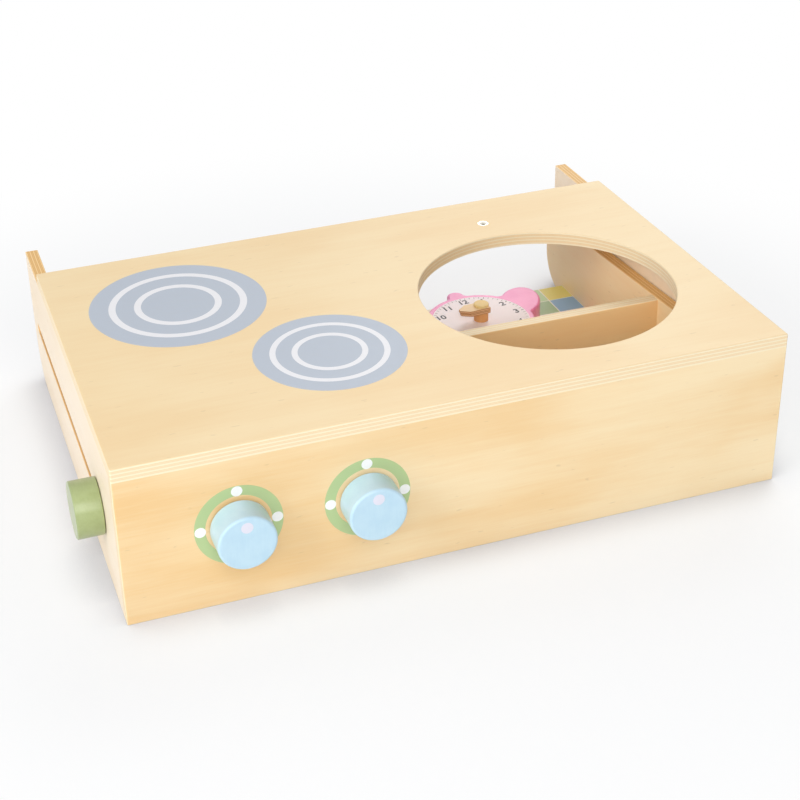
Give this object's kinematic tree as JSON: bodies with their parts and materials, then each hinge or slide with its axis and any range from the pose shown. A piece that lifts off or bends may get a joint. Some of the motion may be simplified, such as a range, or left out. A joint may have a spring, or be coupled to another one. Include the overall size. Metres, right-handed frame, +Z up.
{
  "type": "toy oven",
  "caption": "Low plywood table-top play cooker with turning hob knobs, printed hob rings, a round sink cut-out and a back unit with a toy clock that slides out on clamp bolts.",
  "frame": {"origin": "on the table, under the middle of the box that holds the whole toy", "axes": "+X to the right along the front panel, +Y from the front panel to the back, +Z up"},
  "size_m": [0.5188, 0.383, 0.121],
  "materials": {
    "birch_ply": "birch plywood under clear satin lacquer",
    "birch_dowel": "plain turned birch",
    "beech": "plain beech, lightly oiled",
    "blue_paint": "beech under pale blue satin paint",
    "green_paint": "beech under pale green satin paint",
    "pink_paint": "board under pink satin paint",
    "zinc_steel": "zinc plated",
    "brass": "turned, plain",
    "nylon": "moulded, matt",
    "spacer_plastic": "moulded, matt",
    "hob_ink": "screen-printed ink, satin",
    "ring_ink": "screen-printed ink, satin",
    "white_ink": "screen-printed ink, satin",
    "dial_ink": "screen-printed ink, satin",
    "black_ink": "screen-printed ink, satin",
    "patchwork_ink": "screen-printed ink, satin"
  },
  "bodies": {
    "oven": {"top_board": "birch_ply", "front_panel": "birch_ply", "side_panel_left": "birch_ply", "side_panel_right": "birch_ply", "top_dowels": "birch_dowel", "corner_dowels": "birch_dowel", "tap_insert": "zinc_steel", "hob_spacers": "spacer_plastic", "hob_washers": "zinc_steel"},
    "hob_knob_left": {"hob_knob_left": "blue_paint", "hob_screw_left": "zinc_steel"},
    "hob_knob_right": {"hob_knob_right": "blue_paint", "hob_screw_right": "zinc_steel"},
    "back_unit": {"arm_left": "birch_ply", "arm_right": "birch_ply", "shelf": "birch_ply", "back_board": "birch_ply", "arm_screws": "zinc_steel", "shelf_screws": "zinc_steel", "clamp_bolt_left": "zinc_steel", "clamp_bolt_right": "zinc_steel", "clamp_washers": "zinc_steel", "arm_washers": "nylon", "clock_body": "pink_paint", "clock_screws": "zinc_steel", "clock_post": "beech", "clock_peg": "beech"},
    "clamp_knob_left": {"clamp_knob_left": "green_paint", "clamp_insert_left": "brass"},
    "clamp_knob_right": {"clamp_knob_right": "green_paint", "clamp_insert_right": "brass"},
    "hour_hand": {"hour_hand": "beech"},
    "minute_hand": {"minute_hand": "beech"}
  },
  "joints": [
    {"name": "hob_knob_left_turn", "type": "hinge", "parent": "oven", "child": "hob_knob_left", "pos_m": [-0.1605, -0.18, 0.0605], "axis": [0, -1, 0], "continuous": true},
    {"name": "hob_knob_right_turn", "type": "hinge", "parent": "oven", "child": "hob_knob_right", "pos_m": [-0.072, -0.18, 0.0605], "axis": [0, -1, 0], "continuous": true},
    {"name": "back_unit_slide", "type": "slide", "parent": "oven", "child": "back_unit", "axis": [0, 1, 0], "range_m": [0, 0.269]},
    {"name": "clamp_knob_left_turn", "type": "hinge", "parent": "back_unit", "child": "clamp_knob_left", "pos_m": [-0.25, -0.1025, 0.053], "axis": [-1, 0, 0], "continuous": true},
    {"name": "clamp_knob_right_turn", "type": "hinge", "parent": "back_unit", "child": "clamp_knob_right", "pos_m": [0.25, -0.1025, 0.053], "axis": [1, 0, 0], "continuous": true},
    {"name": "hour_hand_turn", "type": "hinge", "parent": "back_unit", "child": "hour_hand", "pos_m": [0.1165, 0.088, 0.03925], "axis": [0, 0, -1], "continuous": true},
    {"name": "minute_hand_turn", "type": "hinge", "parent": "back_unit", "child": "minute_hand", "pos_m": [0.1165, 0.088, 0.04195], "axis": [0, 0, -1], "continuous": true}
  ]
}
